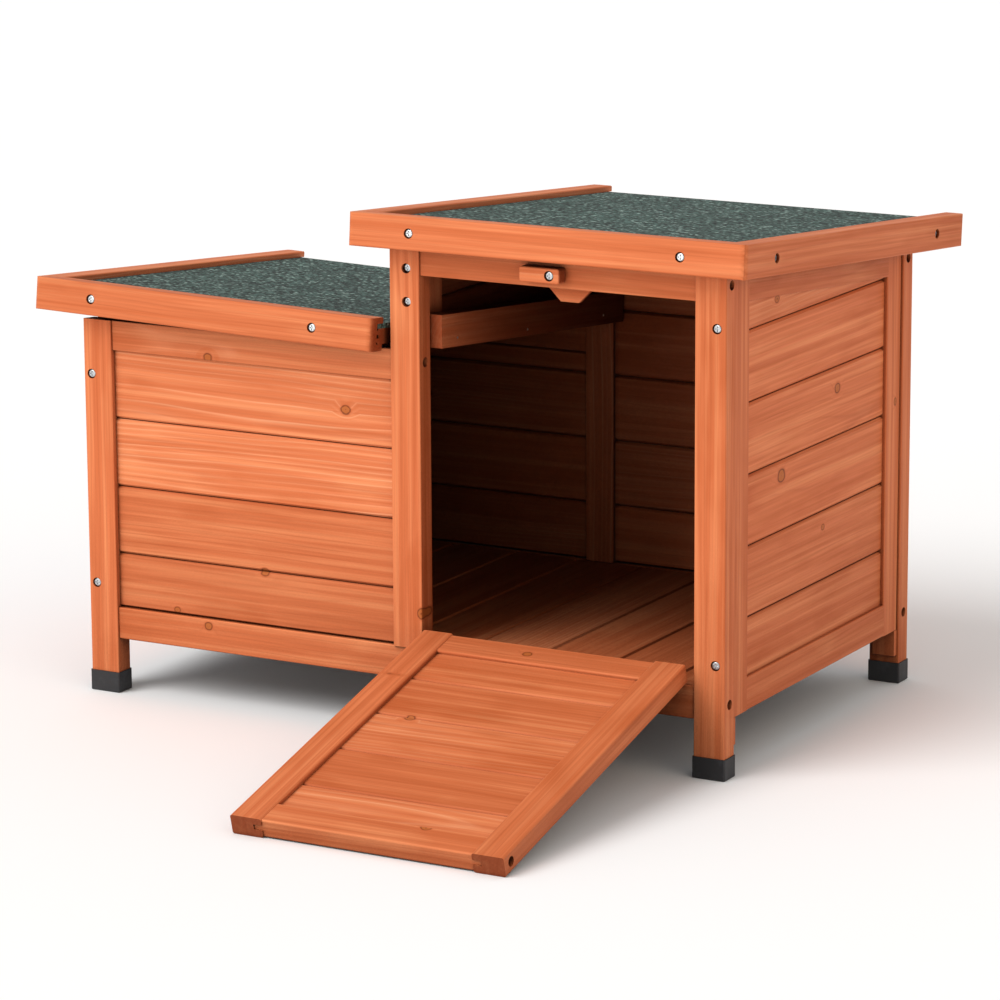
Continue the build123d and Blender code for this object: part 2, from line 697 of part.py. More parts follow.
def deck_and_felt(name, x, length):
    y = (ROOF_FRONT + TRIM_GROOVE, ROOF_FRONT + length - DECK_BACK_INSET)
    frame = Plane(origin=(x[0], 0, DECK_T / 2), x_dir=(1, 0, 0), z_dir=(0, 1, 0)).location
    boards = board_wall(frame, x[1] - x[0], *y, y[0] + BOARD_PITCH, thickness=DECK_T)
    add(f"{name}_deck", *boards)
    fold_y = (y[1] + 0.2, y[1] + 0.2 + FELT_FOLD_T)
    fold_x = (x[0] + FELT_FOLD_INSET, x[1] - FELT_FOLD_INSET)
    sheet = block(x, (y[0], fold_y[1]), (DECK_T, DECK_T + FELT_T))
    add(f"{name}_felt", sheet + block(fold_x, fold_y, (DECK_T - FELT_FOLD_H, DECK_T)))


def trim_screws(name, x, length, sides):
    """Two screws through each trim into the deck."""
    middle = TRIM_H / 2 - TRIM_LIP
    targets = [f"{name}_{part}" for part in ("front_trim", "left_trim", "deck")]
    if "right" in sides:
        targets.append(f"{name}_right_trim")
    across = (x[0] + TRIM_SCREW_INSET, x[1] - TRIM_SCREW_INSET)
    along = (ROOF_FRONT + TRIM_SCREW_INSET, ROOF_FRONT + length - TRIM_SCREW_INSET)
    front = [(at, ROOF_FRONT, middle) for at in across]
    screws = drive_screws(front, (0, 1, 0), TRIM_FRONT_SINK, TRIM_SCREW, targets)
    for side in sides:
        edge = x[0] if side == "left" else x[1]
        inward = (1, 0, 0) if side == "left" else (-1, 0, 0)
        points = [(edge, at, middle) for at in along]
        screws += drive_screws(points, inward, TRIM_SIDE_SINK, TRIM_SCREW, targets)
    add(f"{name}_screws", *screws)


def lay_roof(name, frame):
    """Move everything of this roof from its flat drawing to its place."""
    for part in [part for part in nodes if part.startswith(name)]:
        nodes[part] = [frame * solid for solid in nodes[part]]


def make_tall_roof():
    x = TALL_ROOF_X
    sides = ("left", "right")
    trim_set("tall_roof", x, TALL_ROOF_L, sides)
    deck_and_felt("tall_roof", (x[0] + TRIM_GROOVE, x[1] - TRIM_GROOVE), TALL_ROOF_L)
    trim_screws("tall_roof", x, TALL_ROOF_L, sides)
    lay_roof("tall_roof", slope_frame(TALL_TOP + GAP, TALL_SLOPE))


def tall_hinge_z():
    """The pin lies a leaf's offset under the deck."""
    slope = math.radians(TALL_SLOPE)
    return TALL_TOP + GAP - TALL_HINGE_Y * math.tan(slope) - LEAF_OFFSET / math.cos(slope)


def make_tall_hinges():
    fixed = []
    moving = []
    sine = math.sin(math.radians(TALL_SLOPE))
    cosine = math.cos(math.radians(TALL_SLOPE))
    for x in (MIDDLE_RIGHT + TALL_HINGE_INSET, RIGHT_POST_X - TALL_HINGE_INSET):
        point = (x, TALL_HINGE_Y, TALL_HINGE_Z)
        wall = leaf_frame(point, (0, 1, 0), (0, 0, -1))
        deck = leaf_frame(point, (0, -sine, -cosine), (0, cosine, -sine))
        fixed.append(wall * leaf(ROOF_HINGE_L, ROOF_LEAF_W, False))
        moving.append(deck * leaf(ROOF_HINGE_L, ROOF_LEAF_W, True))
        pins.append(pin(point, (1, 0, 0), ROOF_HINGE_L))
    add("tall_roof_hinge_fixed_leaves", *fixed)
    add("tall_roof_hinge_moving_leaves", *moving)


def low_lid_frame():
    """From the lid's flat drawing to its place: the pin line stays on the partition."""
    place = Pos(LOW_HINGE_X, 0, LOW_HINGE_Z) * Rot(-LOW_SLOPE, 0, 0) * Rot(0, LOW_LID_TILT, 0)
    return place * Pos(-LOW_HINGE_X, 0, -LOW_PIN_RISE)


def make_low_hinges():
    """The lid's hinges, in its flat drawing: one leaf on the felt, and one on the partition."""
    fixed = []
    moving = []
    sine = math.sin(math.radians(LOW_LID_TILT))
    cosine = math.cos(math.radians(LOW_LID_TILT))
    for y in LOW_HINGE_Y:
        point = (LOW_HINGE_X, y, LOW_PIN_RISE)
        wall = leaf_frame(point, (-cosine, 0, -sine), (-sine, 0, cosine))
        lid = leaf_frame(point, (0, 0, 1), (-1, 0, 0))
        fixed.append(wall * leaf(ROOF_HINGE_L, ROOF_LEAF_W, False))
        moving.append(lid * leaf(ROOF_HINGE_L, ROOF_LEAF_W, True))
        pins.append(low_lid_frame() * pin(point, (0, 1, 0), ROOF_HINGE_L))
    add("low_roof_hinge_fixed_leaves", *fixed)
    add("low_roof_hinge_moving_leaves", *moving)


def make_low_roof():
    """The low lid is drawn about its hinge line, and lies 1.4 degrees up at its left."""
    x = LOW_ROOF_X
    trim_set("low_roof", x, LOW_ROOF_L, ("left",))
    deck_and_felt("low_roof", (x[0] + TRIM_GROOVE, x[1]), LOW_ROOF_L)
    trim_screws("low_roof", x, LOW_ROOF_L, ("left",))
    make_low_hinges()
    lay_roof("low_roof", low_lid_frame())


# ---- the screws that hold the carcass together ----

def rail_middle(top, slope, y):
    """The middle height of a rail that lies under a roof line."""
    return top - y * math.tan(math.radians(slope)) - RAIL_H / 2


def post_screws(wood):
    """Screws through the posts from the front and from the back."""
    front = [(x, 0, z) for x, z in FRONT_SCREWS]
    middle = [(x, 0, z) for x, z in MIDDLE_SCREWS]
    back = [(x, BODY_D, z) for x, z in BACK_SCREWS]
    return [
        *drive_screws(front, (0, 1, 0), FACE_SCREW_SINK, POST_SCREW, wood),
        *drive_screws(middle, (0, 1, 0), DEEP_SCREW_SINK, POST_SCREW, wood),
        *drive_screws(back, (0, -1, 0), BACK_SCREW_SINK, POST_SCREW, wood),
    ]


def rail_screws(wood):
    """Screws through the posts into the ends of the rails."""
    front_y = RAIL_RECESS + RAIL_T / 2
    back_y = BODY_D - POST_T / 2
    bottom = RAIL_Z + RAIL_H / 2
    low_front = (LOW_RAIL_Z + LOW_TOP) / 2
    tall_front = (HEAD_RAIL_Z + TALL_TOP) / 2
    low_back = rail_middle(LOW_TOP, LOW_SLOPE, back_y)
    tall_back = rail_middle(TALL_TOP, TALL_SLOPE, back_y)
    feet = [(front_y, bottom), (back_y, bottom)]
    rows = (
        (BODY_W, (-1, 0, 0), [*feet, (front_y, tall_front), (back_y, tall_back)]),
        (0, (1, 0, 0), [*feet, (front_y, low_front), (back_y, low_back)]),
        (MIDDLE_RIGHT, (-1, 0, 0), [(front_y, low_front + 3.0), (back_y, low_back)]),
        (MIDDLE_X, (1, 0, 0), [(front_y, tall_front + 4.0), (back_y, tall_back - 6.0)]),
    )
    screws = []
    for x, inward, places in rows:
        points = [(x, y, z) for y, z in places]
        screws += drive_screws(points, inward, SIDE_SCREW_SINK, LONG_SCREW, wood)
    return screws


def make_frame_screws():
    wood = [name for name in nodes if name.startswith(("post", "front_", "back_", "head"))]
    wood += [name for name in nodes if name.startswith(("left_side", "right_side", "partition_"))]
    wood += ["low_front_top_rail", "low_back_top_rail", "tall_back_top_rail"]
    return post_screws(wood) + rail_screws(wood)


# ---- build ----

RAMP_NODES = [
    "ramp_left_stile",
    "ramp_right_stile",
    "ramp_hinge_rail",
    "ramp_free_rail",
    "ramp_boards",
    "ramp_screws",
    "ramp_hinge_moving_leaves",
]
TALL_HINGE_Z = tall_hinge_z()
RAMP_OPEN = ramp_open_angle()

make_posts()
make_feet()
make_front()
make_back()
make_floor()
make_sides()
make_partition()
make_rest_blocks()
make_stop()
make_ramp()
make_ramp_hinges()
let_down_ramp()
make_tall_roof()
make_tall_hinges()
make_low_roof()
add("frame_screws", *make_button(), *make_frame_screws())
add("hinge_pins", *pins)

everything = Compound([solid for solids in nodes.values() for solid in solids])
box = everything.bounding_box()
ORIGIN = Vector((box.min.X + box.max.X) / 2, (box.min.Y + box.max.Y) / 2, 0)

os.makedirs("parts", exist_ok=True)
for name, solids in nodes.items():
    placed = [Pos(-ORIGIN.X, -ORIGIN.Y, -ORIGIN.Z) * solid for solid in solids]
    export_step(Compound(placed), f"parts/{name}.step")

print(len(nodes), "nodes,", sum(len(solids) for solids in nodes.values()), "solids")
print("origin at", ORIGIN, "size", box.size, "lowest", box.min.Z)
print("ramp opens", RAMP_OPEN, "hinge", RAMP_HINGE_Y, RAMP_HINGE_Z)
print("tall roof hinge", TALL_HINGE_Y, TALL_HINGE_Z)
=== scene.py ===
import json
import math
from functools import partial

import bpy
from mathutils import Matrix, Vector


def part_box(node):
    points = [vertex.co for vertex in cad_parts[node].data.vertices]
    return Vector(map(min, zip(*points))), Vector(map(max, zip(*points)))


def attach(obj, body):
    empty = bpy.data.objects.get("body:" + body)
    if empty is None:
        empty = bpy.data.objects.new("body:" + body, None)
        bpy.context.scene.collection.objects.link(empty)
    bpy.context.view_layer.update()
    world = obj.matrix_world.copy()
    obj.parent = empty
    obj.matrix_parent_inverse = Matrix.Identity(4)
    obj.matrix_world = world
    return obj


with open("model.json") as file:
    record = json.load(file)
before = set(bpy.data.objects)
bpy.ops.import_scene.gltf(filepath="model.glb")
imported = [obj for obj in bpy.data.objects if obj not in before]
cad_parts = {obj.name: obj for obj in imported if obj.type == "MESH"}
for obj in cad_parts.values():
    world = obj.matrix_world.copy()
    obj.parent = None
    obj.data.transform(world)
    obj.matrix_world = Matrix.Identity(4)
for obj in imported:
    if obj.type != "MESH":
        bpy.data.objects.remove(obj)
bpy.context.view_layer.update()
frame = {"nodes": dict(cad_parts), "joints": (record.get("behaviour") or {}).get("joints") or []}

# A stained fir rabbit hutch with green roofing felt, zinc screws and black leg caps.
# Sizes are in metres here, and in millimetres where a name ends in _MM.

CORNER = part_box("post_front_left")[0]
JOINTS = {joint["name"]: joint for joint in frame["joints"]}
RAMP_DOWN_DEG = JOINTS["ramp_hinge"]["range_deg"][1]
RAMP_FALL_DEG = RAMP_DOWN_DEG - 90.0
TALL_SLOPE_DEG = 5.0
LOW_SLOPE_DEG = 5.5
LOW_TILT_DEG = 1.43


def spot(x_mm, y_mm, z_mm):
    """A place measured from the left front leg: right, back and up, in millimetres."""
    return Vector((CORNER.x + x_mm / 1000, CORNER.y + y_mm / 1000, z_mm / 1000))


# ---- colours ----

def colour(code):
    """An sRGB hex code as the linear colour that a shader takes."""
    channels = [int(code[i:i + 2], 16) / 255 for i in (1, 3, 5)]
    linear = [c / 12.92 if c <= 0.04045 else ((c + 0.055) / 1.055) ** 2.4 for c in channels]
    return (*linear, 1.0)


PALE_GRAIN = colour("#F2B287")
BRIGHT_STAIN = colour("#E18B5B")
MAIN_STAIN = colour("#D07347")
DEEP_STAIN = colour("#BD6035")
LATE_WOOD = colour("#9C4522")
END_GRAIN = colour("#7E3418")
KNOT_CORE = colour("#B2622F")
KNOT_RIM = colour("#5A2410")
# The next two darken the wood. The first is stain gathered in the joints together with painted shade
# in the crevices. The second is painted shade for the rooms, under the roof and near the floor.
SEAM_STAIN_AND_SHADE = colour("#5E2410")
ROOM_PAINTED_SHADE = colour("#1A0803")
FELT_DARK = colour("#111B18")
FELT_GREEN = colour("#384F47")
FELT_BLUE = colour("#526D66")
FELT_PALE = colour("#8FA79E")
CAP_BLACK = colour("#17171A")
CAP_SCUFF = colour("#3A3A3F")
ZINC = colour("#D3D6D8")
ZINC_DULL = colour("#9DA1A5")
STEEL = colour("#B4B7BA")
STEEL_DULL = colour("#83878B")


def wire(node, inputs):
    """Give a node its inputs, by name or in their order: each a value or another node's output."""
    for socket, value in inputs.items() if isinstance(inputs, dict) else enumerate(inputs):
        if isinstance(value, bpy.types.NodeSocket):
            node.id_data.links.new(value, node.inputs[socket])
        else:
            node.inputs[socket].default_value = value


def put(tree, kind, inputs=(), stops=(), out=0, **settings):
    """Add one shader node, with its settings, its inputs and its ramp's stops. Gives back one of
    its outputs, or all of them where out is None."""
    made = tree.nodes.new("ShaderNode" + kind)
    for name, value in settings.items():
        setattr(made, name, value)
    wire(made, inputs)
    if stops:
        ramp = made.color_ramp
        while len(ramp.elements) < len(stops):
            ramp.elements.new(0.5)
        for element, (at, shade) in zip(ramp.elements, stops):
            element.position = at
            element.color = shade
    return made.outputs if out is None else made.outputs[out]


def new_material(name):
    """A new material, the function that adds a node to it, and its shader."""
    made = bpy.data.materials.new(name)
    made.use_nodes = True
    return made, partial(put, made.node_tree), made.node_tree.nodes["Principled BSDF"]


def finish(made, add, shader, shade, gloss, height, strength, depth_mm):
    """Give a material its colour, its roughness and its relief."""
    relief = {"Height": height, "Strength": strength, "Distance": depth_mm / 1000}
    wire(shader, {"Base Color": shade, "Roughness": gloss, "Normal": add("Bump", relief)})
    return made


# ---- the wood ----
# Planed fir, dipped in a translucent orange-brown stain: soft wood drinks it and goes deep orange,
# the hard late-wood lines show darker or, on some boards, much paler, cut ends and joints go dark,
# and the surface dries to a satin. Shade is painted into the wood's colour as well: in the
# crevices between pieces, in the rooms, under the roof and low by the floor.

RING_PITCH_MM = 3.8
HEART_DEPTH_MM = (20.0, 80.0)   # how far behind the face the tree's heart may lie
HEART_ASIDE = 1.8               # how far to either side of it, in board widths
RING_WANDER_MM = 26.0
KNOT_PUSH_MM = 5.0              # how far a knot pushes the lines round it apart
SINGLE_WIDTH = 0.03             # what a post or a rail counts as, where a wall has boards
FIBRE_MM = 1.7                  # real fibres are finer, but this is the finest that shows
FIBRE_LENGTH_MM = 110.0
STREAK_MM = 7.0
BLOTCH_MM = 90.0

# Waves to the metre along, through and across the grain. The slow ones are 450 mm long and
# 100 mm apart. The streaks divide them further, so their own numbers are ten times smaller.
SLOW_SCALE = (2.2, 10.0, 10.0)
FIBRE_SCALE = (1000 / FIBRE_LENGTH_MM, 1000 / FIBRE_MM, 1000 / FIBRE_MM)
STREAK_SCALE = (1.2, 100 / STREAK_MM, 100 / STREAK_MM)
BLOTCH_SCALE = (500 / BLOTCH_MM, 1000 / BLOTCH_MM, 1400 / BLOTCH_MM)
LUCK_STEP = 13.7                # keeps the draws of one piece apart from those of the next
LUCK_DRIFT = (40.0, 40.0, 40.0)  # moves each board's pattern to a place of its own

LINE_STOPS = [
    (at, (level, level, level, 1.0))
    for at, level in ((0.0, 0.3), (0.45, 0.0), (0.72, 0.25), (0.90, 1.0), (0.98, 0.3))
]
STAIN_STOPS = ((0.30, DEEP_STAIN), (0.45, MAIN_STAIN), (0.60, MAIN_STAIN), (0.76, BRIGHT_STAIN))
KNOT_STOPS = (
    (0.0, KNOT_RIM), (0.07, KNOT_CORE), (0.33, KNOT_CORE), (0.43, KNOT_RIM), (0.53, DEEP_STAIN)
)
# Where wood goes dark beside other wood, as stain and as painted shade: the reach in millimetres,
# how much of the surroundings is open where it is darkest and where it starts, the strength, and
# the colour. The first is stain gathered in the joints together with painted shade in the crevices
# between pieces. The second is painted shade in the rooms, under the roof and low by the floor.
STAIN_AND_PAINTED_SHADE = ((6.0, 0.25, 0.72, 0.85, SEAM_STAIN_AND_SHADE), (450.0, 0.13, 0.39, 0.97, ROOM_PAINTED_SHADE))


def degrees(x, y, z):
    return (math.radians(x), math.radians(y), math.radians(z))


def turned(turn):
    """The rotation that a Mapping node makes of these angles."""
    x, y, z = turn
    return Matrix.Rotation(z, 3, "Z") @ Matrix.Rotation(y, 3, "Y") @ Matrix.Rotation(x, 3, "X")


def board_luck(add, height, middle, boards, number):
    """The height over the board's own middle, and the random numbers that each board keeps."""
    if not boards:
        luck = add("TexWhiteNoise", {"W": number * LUCK_STEP}, out=None, noise_dimensions="1D")
        return add("Math", (height, middle), operation="SUBTRACT"), luck
    first, pitch = boards
    over = add("Math", (height, first), operation="SUBTRACT")
    share = add("Math", (over, pitch), operation="DIVIDE")
    board = add("Math", (share,), operation="FLOOR")
    key = add("Math", (board, number * LUCK_STEP), operation="ADD")
    luck = add("TexWhiteNoise", {"W": key}, out=None, noise_dimensions="1D")
    part = add("Math", (share,), operation="FRACT")
    return add("Math", (part, pitch, -pitch / 2), operation="MULTIPLY_ADD"), luck


def knot_distance(add, laid, turn, knots):
    """The distance to the nearest knot, where 1 is its rim. A knot runs through the board."""
    nearest = None
    for point, radius in knots:
        apart = add("VectorMath", (laid, turned(turn) @ point), operation="SUBTRACT")
        stretch = (0.8 / radius, 0.2 / radius, 1.0 / radius)
        shaped = add("VectorMath", (apart, stretch), operation="MULTIPLY")
        far = add("VectorMath", (shaped,), out="Value", operation="LENGTH")
        nearest = far if nearest is None else add("Math", (nearest, far), operation="MINIMUM")
    return nearest


def growth_lines(add, width, depth, chance, spread, wander, nearest):
    """Late-wood lines: thin shells round a heart that lies somewhere behind the face."""
    shallow, deep = (depth_mm / 1000 for depth_mm in HEART_DEPTH_MM)
    aside = HEART_ASIDE * spread
    heart_z = add("Math", (chance["X"], -2 * aside, aside), operation="MULTIPLY_ADD")
    heart_y = add("Math", (chance["Y"], deep - shallow, shallow), operation="MULTIPLY_ADD")
    ring_y = add("Math", (depth, heart_y), operation="ADD")
    ring_z = add("Math", (width, heart_z), operation="ADD")
    from_heart = add("CombineXYZ", {"Y": ring_y, "Z": ring_z})
    radius = add("VectorMath", (from_heart,), out="Value", operation="LENGTH")
    bent = add("Math", (wander, RING_WANDER_MM / 1000, radius), operation="MULTIPLY_ADD")
    if nearest is not None:
        push = add("MapRange", (nearest, 0.7, 2.6, KNOT_PUSH_MM / 1000, 0.0))
        bent = add("Math", (bent, push), operation="ADD")
    rings = add("Math", (bent, 1000 / RING_PITCH_MM), operation="MULTIPLY")
    ring = add("Math", (rings,), operation="FLOOR")
    ring_luck = add("TexWhiteNoise", {"W": ring}, out="Value", noise_dimensions="1D")
    through = add("Math", (rings,), operation="FRACT")
    line = add("ValToRGB", (through,), LINE_STOPS)
    strength = add("MapRange", (ring_luck, 0.0, 1.0, 0.25, 1.0))
    return add("Math", (line, strength), operation="MULTIPLY")


def stained(add, blotches, streaks, lines, luck, pale_share):
    """The stain, patchy and streaky, under the late-wood lines: dark, or on some boards pale."""
    wood = add("ValToRGB", (blotches,), STAIN_STOPS)
    deep = add("MapRange", (streaks, 0.46, 0.70, 0.0, 0.75))
    wood = add("Mix", {0: deep, 6: wood, 7: DEEP_STAIN}, out=2, data_type="RGBA")
    bright = add("MapRange", (streaks, 0.50, 0.30, 0.0, 0.70))
    wood = add("Mix", {0: bright, 6: wood, 7: BRIGHT_STAIN}, out=2, data_type="RGBA")
    pale = add("Math", (luck["Value"], pale_share), operation="LESS_THAN")
    line_colour = add("Mix", {0: pale, 6: LATE_WOOD, 7: PALE_GRAIN}, out=2, data_type="RGBA")
    strength = add("MapRange", (pale, 0.0, 1.0, 0.32, 0.55))
    patchy = add("MapRange", (blotches, 0.38, 0.60, 0.35, 1.15))
    strength = add("Math", (strength, patchy), operation="MULTIPLY")
    strength = add("Math", (lines, strength), operation="MULTIPLY")
    return add("Mix", {0: strength, 6: wood, 7: line_colour}, out=2, data_type="RGBA")


def knotted(add, wood, nearest, streaks):
    """Sound knots: an orange-brown core in a thin dark rim."""
    nearer = add("Math", (nearest, 0.45), operation="SUBTRACT")
    uneven = add("Math", (streaks, 0.9, nearer), operation="MULTIPLY_ADD")
    in_knot = add("MapRange", (uneven, 1.35, 0.85, 0.0, 0.9))
    half = add("Math", (uneven, 0.5), operation="MULTIPLY")
    knot = add("ValToRGB", (half,), KNOT_STOPS)
    return add("Mix", {0: in_knot, 6: wood, 7: knot}, out=2, data_type="RGBA")


def darken_ends_and_paint_shade(add, wood, normal, turn):
    """Cut ends drink the stain and go dark, and so do the joints, with painted shade in the
    crevices;
    shade is also painted into the rooms, under the roof and near the floor.
    """
    facing = {"Vector": normal, "Rotation": turn}
    facing = add("Mapping", facing, vector_type="NORMAL")
    along = add("SeparateXYZ", (facing,), out="X")
    end = add("Math", (along,), operation="ABSOLUTE")
    share = add("MapRange", (end, 0.55, 0.9, 0.0, 0.7))
    wood = add("Mix", {0: share, 6: wood, 7: END_GRAIN}, out=2, data_type="RGBA")
    # painted shade where the wood is closed in by other wood, with stain gathered in the joints
    for reach_mm, darkest, lightest, strength, shade in STAIN_AND_PAINTED_SHADE:
        openness = add("AmbientOcclusion", {"Distance": reach_mm / 1000}, out="AO", samples=4)
        share = add("MapRange", (openness, darkest, lightest, strength, 0.0))
        wood = add("Mix", {0: share, 6: wood, 7: shade}, out=2, data_type="RGBA")
    return wood


def fir(name, number, pale_share, turn, boards=None, knots=()):
    """A fir material for one piece. turn lays it down, so that its grain runs on X and its width
    on Z. boards gives the first seam and the pitch, so that every board has its own grain."""
    made, add, shader = new_material("stained fir of " + name)
    low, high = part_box(name)
    middle = turned(turn) @ ((low + high) / 2)
    place = add("TexCoord", out=None)
    laid = add("Mapping", {"Vector": place["Object"], "Rotation": turn})
    axes = add("SeparateXYZ", (laid,), out=None)
    width, luck = board_luck(add, axes["Z"], middle.z, boards, number)
    depth = add("Math", (axes["Y"], middle.y), operation="SUBTRACT")
    chance = add("SeparateXYZ", (luck["Color"],), out=None)
    nearest = knot_distance(add, laid, turn, knots)

    # the grain wanders slowly along the piece, and differently on every board
    drift = add("VectorMath", (luck["Color"], LUCK_DRIFT), operation="MULTIPLY")
    slow = add("VectorMath", (laid, SLOW_SCALE), operation="MULTIPLY")
    slow = add("VectorMath", (slow, drift), operation="ADD")
    wander = add("TexNoise", {"Vector": slow, "Scale": 1.0, "Detail": 2.0, "Roughness": 0.45})
    spread = boards[1] if boards else SINGLE_WIDTH
    lines = growth_lines(add, width, depth, chance, spread, wander, nearest)

    # fibres and streaks drawn out along the grain, and blotches where the stain soaked in unevenly
    fibre_at = add("VectorMath", (laid, FIBRE_SCALE), operation="MULTIPLY")
    fibres = add("TexNoise", {"Vector": fibre_at, "Scale": 1.0, "Detail": 3.0, "Roughness": 0.6})
    streak_at = add("VectorMath", (slow, STREAK_SCALE), operation="MULTIPLY")
    streaks = add("TexNoise", {"Vector": streak_at, "Scale": 1.0, "Detail": 3.0, "Roughness": 0.55})
    blotch_at = add("VectorMath", (laid, BLOTCH_SCALE), operation="MULTIPLY")
    blotch_at = add("VectorMath", (blotch_at, drift), operation="ADD")
    blotches = add("TexNoise", {"Vector": blotch_at, "Scale": 1.0, "Detail": 3.0, "Roughness": 0.55})

    wood = stained(add, blotches, streaks, lines, luck, pale_share)
    fibre_tone = add("MapRange", (fibres, 0.3, 0.7, 0.92, 1.07))
    board_tone = add("MapRange", (chance["Z"], 0.0, 1.0, 0.92, 1.06))
    tone = add("Math", (fibre_tone, board_tone), operation="MULTIPLY")
    wood = add("HueSaturation", {"Color": wood, "Value": tone})
    if nearest is not None:
        wood = knotted(add, wood, nearest, streaks)
    # dark cut ends, stain in the joints, and painted shade in the crevices, the rooms and under the
    # roof
    wood = darken_ends_and_paint_shade(add, wood, place["Normal"], turn)

    gloss = add("MapRange", (fibres, 0.3, 0.7, 0.60, 0.46))
    height = add("Math", (lines, 0.4, fibres), operation="MULTIPLY_ADD")
    shader.inputs["Specular IOR Level"].default_value = 0.1
    return finish(made, add, shader, wood, gloss, height, 0.3, 0.4)


# Ways a piece can lie, as the turn that puts its grain on X and its width on Z.
ACROSS = degrees(0, 0, 0)
UPRIGHT = degrees(0, 90, 0)
UPRIGHT_SIDE = degrees(90, 0, 90)
BACKWARDS = degrees(0, 0, -90)
FLOORING = degrees(90, 90, 0)
TALL_SIDE = degrees(TALL_SLOPE_DEG, 0, -90)
LOW_SIDE = degrees(LOW_SLOPE_DEG, 0, -90)
LOW_ACROSS = degrees(LOW_SLOPE_DEG, -LOW_TILT_DEG, 0)
TALL_DECK = degrees(90 + TALL_SLOPE_DEG, 0, 0)
LOW_DECK = degrees(90 + LOW_SLOPE_DEG, 0, 0)
RAMP_STILE = degrees(-RAMP_FALL_DEG, 0, -90)
RAMP_ACROSS = degrees(-RAMP_DOWN_DEG, 0, 0)


def ramp_spot(x_mm, down_mm, proud_mm=13.5):
    """A place on the lowered ramp: across, down from its hinge, and up from its underside."""
    fall = math.radians(RAMP_FALL_DEG)
    hinge = Vector(JOINTS["ramp_hinge"]["pos_m"])
    along = Vector((0, -math.cos(fall), -math.sin(fall)))
    out = Vector((0, -math.sin(fall), math.cos(fall)))
    point = hinge + along * down_mm / 1000 + out * proud_mm / 1000
    return Vector((CORNER.x + x_mm / 1000, point.y, point.z))


WALL_PITCH = 0.064
FRONT_SEAM = 0.070
BACK_SEAM = 0.075
DECK_SEAM = -0.9
FLOOR_PITCH = 0.070
FLOOR_SEAM = -(CORNER.x + 0.740)    # laid down, the floor is counted from its right end
RAMP_MIDDLE_MM = 494
RAMP_SEAM_DOWN_MM = 77.5


def laid_seam(turn, point):
    """The height of a seam once the piece is laid down by this turn."""
    return (turned(turn) @ point).z


RAMP_SEAM = laid_seam(RAMP_ACROSS, ramp_spot(RAMP_MIDDLE_MM, RAMP_SEAM_DOWN_MM)) - 3 * WALL_PITCH

